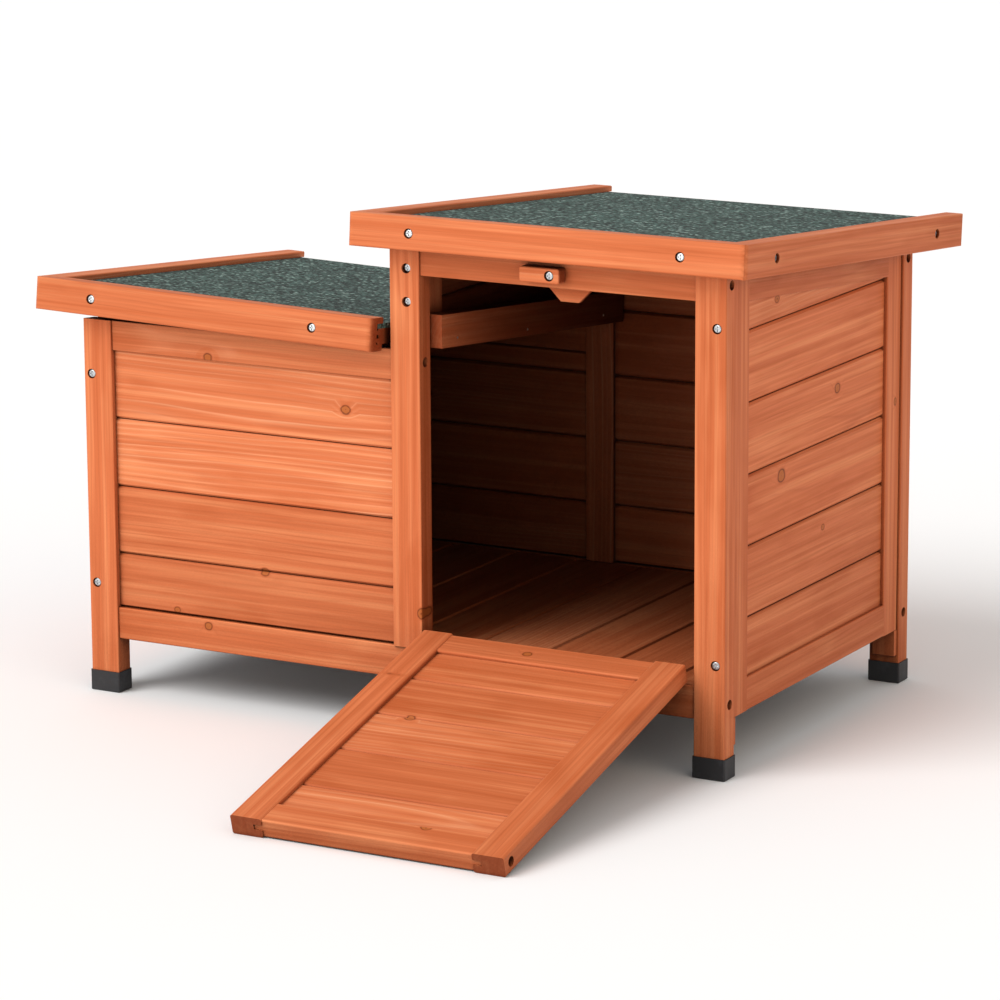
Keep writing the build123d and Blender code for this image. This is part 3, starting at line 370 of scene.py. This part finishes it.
# Each wooden piece: how it lies, then the first seam and the pitch where it is several boards,
# then its knots, each a place on it and a radius.
FIR_PIECES = {
    "post_front_left": (UPRIGHT,),
    "post_front_middle": (UPRIGHT, None, ((spot(357.0, 2, 115), 0.004),)),
    "post_front_right": (UPRIGHT,),
    "post_back_left": (UPRIGHT,),
    "post_back_middle": (UPRIGHT,),
    "post_back_right": (UPRIGHT_SIDE,),
    "front_bottom_rail": (ACROSS, None, ((spot(129.2, 2.4, 75.5), 0.0038),)),
    "low_front_top_rail": (ACROSS, None, ((spot(134, 2.4, 328.5), 0.004),)),
    "head_rail": (ACROSS,),
    "low_front_boards": (
        ACROSS,
        (FRONT_SEAM, WALL_PITCH),
        (
            (spot(277.6, 5.9, 293.4), 0.0045),
            (spot(189.2, 5.9, 133.0), 0.0038),
            (spot(93.1, 5.9, 86.3), 0.003),
        ),
    ),
    "back_bottom_rail": (ACROSS,),
    "low_back_top_rail": (ACROSS,),
    "low_back_boards": (ACROSS, (BACK_SEAM, WALL_PITCH), ((spot(150, 384, 230), 0.005),)),
    "tall_back_top_rail": (ACROSS,),
    "tall_back_boards": (
        ACROSS,
        (BACK_SEAM, WALL_PITCH),
        ((spot(450, 374, 290), 0.006), (spot(500, 384, 160), 0.005)),
    ),
    "floor_bearers": (ACROSS,),
    "floor_boards": (FLOORING, (FLOOR_SEAM, FLOOR_PITCH), ((spot(568, 150, 81.5), 0.004),)),
    "right_side_front_stile": (UPRIGHT,),
    "right_side_back_stile": (UPRIGHT_SIDE, None, ((spot(657.6, 360, 272), 0.003),)),
    "right_side_bottom_rail": (BACKWARDS,),
    "right_side_top_rail": (TALL_SIDE,),
    "right_side_boards": (
        BACKWARDS,
        (FRONT_SEAM, WALL_PITCH),
        (
            (spot(654.1, 239.6, 306.1), 0.005),
            (spot(654.1, 123.6, 248.0), 0.0065),
            (spot(654.1, 211.3, 183.4), 0.003),
            (spot(654.1, 112.0, 408.3), 0.0035),
        ),
    ),
    "left_side_front_stile": (UPRIGHT,),
    "left_side_back_stile": (UPRIGHT,),
    "left_side_bottom_rail": (BACKWARDS,),
    "left_side_top_rail": (LOW_SIDE,),
    "left_side_boards": (
        BACKWARDS,
        (FRONT_SEAM, WALL_PITCH),
        ((spot(5.9, 150, 230), 0.005), (spot(5.9, 270, 160), 0.004)),
    ),
    "partition_front_stile": (UPRIGHT,),
    "partition_back_stile": (UPRIGHT,),
    "partition_strip": (LOW_SIDE,),
    "partition_boards": (BACKWARDS, (FRONT_SEAM, WALL_PITCH)),
    "rest_blocks": (UPRIGHT,),
    "stop_tab": (ACROSS,),
    "turn_button": (ACROSS,),
    "ramp_left_stile": (RAMP_STILE, None, ((ramp_spot(378, 82, 18), 0.003),)),
    "ramp_right_stile": (RAMP_STILE,),
    "ramp_hinge_rail": (RAMP_ACROSS, None, ((ramp_spot(477, 16, 18), 0.004),)),
    "ramp_free_rail": (RAMP_ACROSS, None, ((ramp_spot(537, 311, 18), 0.004),)),
    "ramp_boards": (RAMP_ACROSS, (RAMP_SEAM, WALL_PITCH), ((ramp_spot(427.3, 142), 0.0042),)),
    "tall_roof_front_trim": (degrees(TALL_SLOPE_DEG, 0, 0),),
    "tall_roof_left_trim": (TALL_SIDE,),
    "tall_roof_right_trim": (TALL_SIDE,),
    "tall_roof_deck": (TALL_DECK, (DECK_SEAM, WALL_PITCH)),
    "low_roof_front_trim": (LOW_ACROSS,),
    "low_roof_left_trim": (LOW_SIDE,),
    "low_roof_deck": (LOW_DECK, (DECK_SEAM, WALL_PITCH)),
}


# How many of a piece's boards have pale lines.
USUAL_PALE_SHARE = 0.25
PALE_SHARES = {
    "ramp_boards": 0.6,
    "low_front_boards": 0.5,
    "low_front_top_rail": 1.0,
    "right_side_boards": 0.1,
}


# ---- the other finishes ----

GRIT_MM = 3.2               # real slate grit is 1 to 2 mm, but this is the finest that shows
FELT_STOPS = (
    (0.05, FELT_DARK), (0.35, FELT_GREEN), (0.62, FELT_BLUE), (0.82, FELT_GREEN), (0.97, FELT_PALE)
)
# The rest are counts to the metre.
GRIT_EDGES = 260.0          # ragged edges, about as fine as the grit
GRIT_DRIFTS = 14.0          # the grit lies thicker and thinner every 70 mm
SPARK_PITS = 900.0          # 1.1 mm, coarser than the mould's real texture, so that it shows
SCUFFS = 70.0               # rubbed patches 14 mm apart
EVEN_MOTTLE = (900.0, 900.0, 900.0)     # 1.1 mm, coarser than the real plating's crystals
DRAWN_MOTTLE = (300.0, 900.0, 900.0)    # the same, drawn out to 3.3 mm along the rolled sheet


def roofing_felt():
    """Bitumen felt faced with crushed green slate: a coarse matt grit, dark, green and pale."""
    made, add, shader = new_material("green slate roofing felt")
    place = add("TexCoord", out="Object")
    jitter = add("TexNoise", {"Vector": place, "Scale": GRIT_EDGES, "Detail": 2.0}, out="Color")
    reach = (GRIT_MM / 2000,) * 3
    shifted = add("VectorMath", (jitter, reach, place), operation="MULTIPLY_ADD")
    grains = add("TexVoronoi", {"Vector": shifted, "Scale": 1000 / GRIT_MM}, out=None)
    each = add("SeparateXYZ", (grains["Color"],), out=None)
    shade = add("ValToRGB", (each["X"],), FELT_STOPS)
    hollow = add("MapRange", (grains["Distance"], 0.25, 0.75, 1.3, 0.25))
    patches = add("TexNoise", {"Vector": place, "Scale": GRIT_DRIFTS, "Detail": 3.0})
    patchy = add("MapRange", (patches, 0.3, 0.7, 0.85, 1.15))
    tone = add("Math", (hollow, patchy), operation="MULTIPLY")
    shade = add("HueSaturation", {"Color": shade, "Value": tone})
    gloss = add("MapRange", (each["Z"], 0.0, 1.0, 0.82, 0.94))
    height = add("Math", (grains["Distance"], -1.0, each["Y"]), operation="MULTIPLY_ADD")
    return finish(made, add, shader, shade, gloss, height, 0.9, 1.3)


def moulded_cap():
    """Injection-moulded black polythene: a fine spark texture, slightly greyed where it rubs."""
    made, add, shader = new_material("black moulded polythene")
    place = add("TexCoord", out="Object")
    pits = add("TexNoise", {"Vector": place, "Scale": SPARK_PITS, "Detail": 2.0, "Roughness": 0.5})
    rub = add("TexNoise", {"Vector": place, "Scale": SCUFFS, "Detail": 4.0, "Roughness": 0.65})
    rubbed = add("MapRange", (rub, 0.52, 0.75, 0.0, 0.5))
    shade = add("Mix", {0: rubbed, 6: CAP_BLACK, 7: CAP_SCUFF}, out=2, data_type="RGBA")
    gloss = add("MapRange", (pits, 0.0, 1.0, 0.38, 0.6))
    return finish(made, add, shader, shade, gloss, pits, 0.25, 0.2)


def plated(name, bright, dull, gloss_low, gloss_high, mottle_scale):
    """Zinc-plated steel: bright metal with a faint crystalline mottle in its colour and gloss."""
    made, add, shader = new_material(name)
    place = add("TexCoord", out="Object")
    mottle_at = add("VectorMath", (place, mottle_scale), operation="MULTIPLY")
    mottle = add("TexNoise", {"Vector": mottle_at, "Scale": 1.0, "Detail": 4.0, "Roughness": 0.6})
    shader.inputs["Metallic"].default_value = 1.0
    shade = add("ValToRGB", (mottle,), ((0.3, dull), (0.6, bright)))
    gloss = add("MapRange", (mottle, 0.0, 1.0, gloss_high, gloss_low))
    return finish(made, add, shader, shade, gloss, mottle, 0.15, 0.2)


def dress(thing, material):
    """Give a piece its one material."""
    thing.data.materials.clear()
    thing.data.materials.append(material)


SLATE_FELT = roofing_felt()
CAP_PLASTIC = moulded_cap()
SCREW_ZINC = plated("bright zinc-plated screw", ZINC, ZINC_DULL, 0.22, 0.42, EVEN_MOTTLE)
HINGE_ZINC = plated("zinc-plated pressed steel", STEEL, STEEL_DULL, 0.28, 0.5, DRAWN_MOTTLE)

for number, (piece, laying) in enumerate(FIR_PIECES.items(), 1):
    pale_share = PALE_SHARES.get(piece, USUAL_PALE_SHARE)
    dress(frame["nodes"][piece], fir(piece, number, pale_share, *laying))
for piece, thing in frame["nodes"].items():
    if piece.endswith("screws"):
        dress(thing, SCREW_ZINC)
    elif "hinge" in piece and piece.endswith(("leaves", "pins")):
        dress(thing, HINGE_ZINC)
    elif piece.endswith("felt"):
        dress(thing, SLATE_FELT)
dress(frame["nodes"]["foot_caps"], CAP_PLASTIC)


# ---- small fixings: hinge screws and brads ----

HEAD_RIM = 0.0018
HEAD_FOOT = 0.0008
HEAD_DEPTH = 0.0009
HEAD_EASE = 0.00012
CROSS_SLOT = (0.0022, 0.0005, 0.0008)
BRAD_R = 0.0011
BRAD_DEPTH = 0.0008
BRAD_EASE = 0.0002
BRAD_X_MM = 369.1
BRAD_PLACES_MM = ((49.1, 359.8), (179.2, 345.3), (328.7, 333.7))
ROUND_SIDES = 20


def clear():
    bpy.ops.object.select_all(action="DESELECT")


def bake_place():
    """Put the current object's place, turn and scale into its mesh."""
    bpy.ops.object.transform_apply(location=True, rotation=True, scale=True)


def ease_edges(width, steps):
    """Round every edge of the current object."""
    bpy.ops.object.mode_set(mode="EDIT")
    bpy.ops.mesh.select_all(action="SELECT")
    bpy.ops.mesh.bevel(offset=width, segments=steps)
    bpy.ops.object.mode_set(mode="OBJECT")


def hinge_screw():
    """A countersunk cross-head screw's head, facing +Z with its rim at 0."""
    clear()
    bpy.ops.mesh.primitive_cone_add(
        vertices=ROUND_SIDES, radius1=HEAD_FOOT, radius2=HEAD_RIM, depth=HEAD_DEPTH,
        location=(0, 0, -HEAD_DEPTH / 2),
    )
    bake_place()
    head = bpy.context.object
    ease_edges(HEAD_EASE, 1)
    for turn in (0.0, math.pi / 2):
        clear()
        bpy.ops.mesh.primitive_cube_add(size=1, location=(0, 0, 0), rotation=(0, 0, turn))
        slot = bpy.context.object
        slot.scale = CROSS_SLOT
        clear()
        head.select_set(True)
        bpy.context.view_layer.objects.active = head
        cut = head.modifiers.new("slot", "BOOLEAN")
        cut.object = slot
        bpy.ops.object.modifier_apply(modifier=cut.name)
        bpy.data.objects.remove(slot)
    return head


def join_fixings(name, body, made):
    """Join small fixings into one zinc piece that rides on this body."""
    clear()
    for thing in made:
        thing.select_set(True)
    bpy.context.view_layer.objects.active = made[0]
    bpy.ops.object.join()
    piece = bpy.context.object
    piece.name = name
    dress(piece, SCREW_ZINC)
    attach(piece, body)


def leaf_place(pin, outward, away):
    """A hinge leaf's place: the pin on X, away from the pin on Y, out of the wood on Z."""
    out = Vector(outward).normalized()
    off = Vector(away).normalized()
    return Matrix.Translation(pin) @ Matrix((off.cross(out), off, out)).transposed().to_4x4()


def leaf_screws(name, body, pins, outward, away, leaf):
    """Copies of the hinge screw in every hole of the leaves at these pins."""
    length_mm, hole_mm = leaf
    made = []
    for pin in pins:
        place = leaf_place(pin, outward, away)
        for x_mm in (-length_mm / 3, 0.0, length_mm / 3):
            copy = pattern.copy()
            copy.data = pattern.data.copy()
            bpy.context.collection.objects.link(copy)
            hole = Vector((x_mm, hole_mm, LEAF_FACE_MM)) / 1000
            copy.data.transform(place @ Matrix.Translation(hole))
            made.append(copy)
    join_fixings(name, body, made)


def pins_at(joint, places_mm):
    """The middles of the hinge pins: each place is how far to the right of the left leg."""
    pivot = Vector(JOINTS[joint]["pos_m"])
    return [Vector((spot(x, 0, 0).x, pivot.y, pivot.z)) for x in places_mm]


LEAF_FACE_MM = -1.6         # from the pin's middle to the leaf's face
# A leaf's length, and how far its holes are from the pin.
RAMP_LEAF_MM = (40.0, 11.6)
ROOF_LEAF_MM = (50.0, 12.6)
RIGHT, BACK, UP = Vector((1, 0, 0)), Vector((0, 1, 0)), Vector((0, 0, 1))

ramp_pins = pins_at("ramp_hinge", (415.4, 572.6))
lying = Matrix.Rotation(math.radians(RAMP_DOWN_DEG), 3, "X")
tall_pins = pins_at("tall_roof_hinge", (408.0, 580.0))
tilt = Matrix.Rotation(math.radians(-TALL_SLOPE_DEG), 3, "X")
low_pin = Vector(JOINTS["low_roof_hinge"]["pos_m"])
low_axis = Vector(JOINTS["low_roof_hinge"]["axis"])
low_front = low_pin - low_axis * (low_pin.y - CORNER.y) / low_axis.y
low_pins = [low_front + low_axis * y_mm / 1000 for y_mm in (60.0, 330.0)]
low_turn = Matrix.Rotation(math.radians(-LOW_SLOPE_DEG), 3, "X")
lid_turn = low_turn @ Matrix.Rotation(math.radians(LOW_TILT_DEG), 3, "Y")

pattern = hinge_screw()
for fixing in (
    ("ramp_hinge_rail_screws", "carcass", ramp_pins, -BACK, -UP, RAMP_LEAF_MM),
    ("ramp_hinge_door_screws", "ramp", ramp_pins, lying @ -BACK, lying @ UP, RAMP_LEAF_MM),
    ("tall_hinge_wall_screws", "carcass", tall_pins, BACK, -UP, ROOF_LEAF_MM),
    ("tall_hinge_deck_screws", "tall_roof", tall_pins, tilt @ -UP, tilt @ BACK, ROOF_LEAF_MM),
    ("low_hinge_wall_screws", "carcass", low_pins, low_turn @ -RIGHT, low_turn @ UP, ROOF_LEAF_MM),
    ("low_hinge_lid_screws", "low_roof", low_pins, lid_turn @ UP, lid_turn @ -RIGHT, ROOF_LEAF_MM),
):
    leaf_screws(*fixing)
bpy.data.objects.remove(pattern)

# three round brad heads along the foot of the partition strip
brads = []
for y_mm, z_mm in BRAD_PLACES_MM:
    clear()
    bpy.ops.mesh.primitive_cylinder_add(
        vertices=ROUND_SIDES, radius=BRAD_R, depth=BRAD_DEPTH, rotation=(0, math.pi / 2, 0)
    )
    brad = bpy.context.object
    ease_edges(BRAD_EASE, 2)
    brad.location = spot(BRAD_X_MM, y_mm, z_mm)
    bake_place()
    brads.append(brad)
join_fixings("partition_strip_brads", "carcass", brads)


# ---- floor, light and camera ----

FLOOR_SIZE = 60.0
FLOOR_GAP = 0.0002
SKY_LIGHT = 0.62
LENS_MM = 163.25
SENSOR_MM = 36.0
CAMERA_MM = (2332.2, -3409.9, 1119.8)
YAW, PITCH, ROLL = 0.5069, -0.2247, -0.0057

clear()
bpy.ops.mesh.primitive_plane_add(size=FLOOR_SIZE, location=(0, 0, -FLOOR_GAP))
floor = bpy.context.object
floor.name = "studio_floor"
floor_paint, _, floor_shader = new_material("white studio floor")
wire(floor_shader, {"Base Color": colour("#F8F8F8"), "Roughness": 0.9, "Specular IOR Level": 0.1})
dress(floor, floor_paint)

world = bpy.data.worlds.new("studio")
bpy.context.scene.world = world
world.use_nodes = True
wire(world.node_tree.nodes["Background"], {"Color": colour("#FFFFFF"), "Strength": SKY_LIGHT})


def soft_lamp(name, towards, spread_deg, power, tint):
    """A wide, far lamp that shines from this direction over everything alike."""
    lamp = bpy.data.lights.new(name, "SUN")
    lamp.angle = math.radians(spread_deg)
    lamp.energy = power
    lamp.color = tint
    thing = bpy.data.objects.new(name, lamp)
    thing.rotation_euler = Vector(towards).to_track_quat("Z", "Y").to_euler()
    bpy.context.scene.collection.objects.link(thing)


soft_lamp("key_light", (-0.42, -0.74, 0.85), 40, 1.85, (1.0, 1.0, 1.0))
soft_lamp("front_light", (-0.40, -1.0, 0.14), 25, 0.55, (1.0, 0.97, 0.92))
soft_lamp("side_light", (0.80, -0.35, 0.50), 50, 0.35, (1.0, 0.75, 0.5))

camera_data = bpy.data.cameras.new("camera")
camera = bpy.data.objects.new("camera", camera_data)
bpy.context.scene.collection.objects.link(camera)
ahead = Vector((-math.sin(YAW) * math.cos(PITCH), math.cos(YAW) * math.cos(PITCH), math.sin(PITCH)))
level = Vector((math.cos(YAW), math.sin(YAW), 0.0))
upward = level.cross(ahead)
right = level * math.cos(ROLL) + upward * math.sin(ROLL)
top = upward * math.cos(ROLL) - level * math.sin(ROLL)
looking = Matrix((right, top, -ahead)).transposed().to_4x4()
camera.matrix_world = Matrix.Translation(spot(*CAMERA_MM)) @ looking
camera_data.sensor_width = SENSOR_MM
camera_data.lens = LENS_MM
bpy.context.scene.camera = camera
bpy.context.scene.view_settings.view_transform = "Standard"
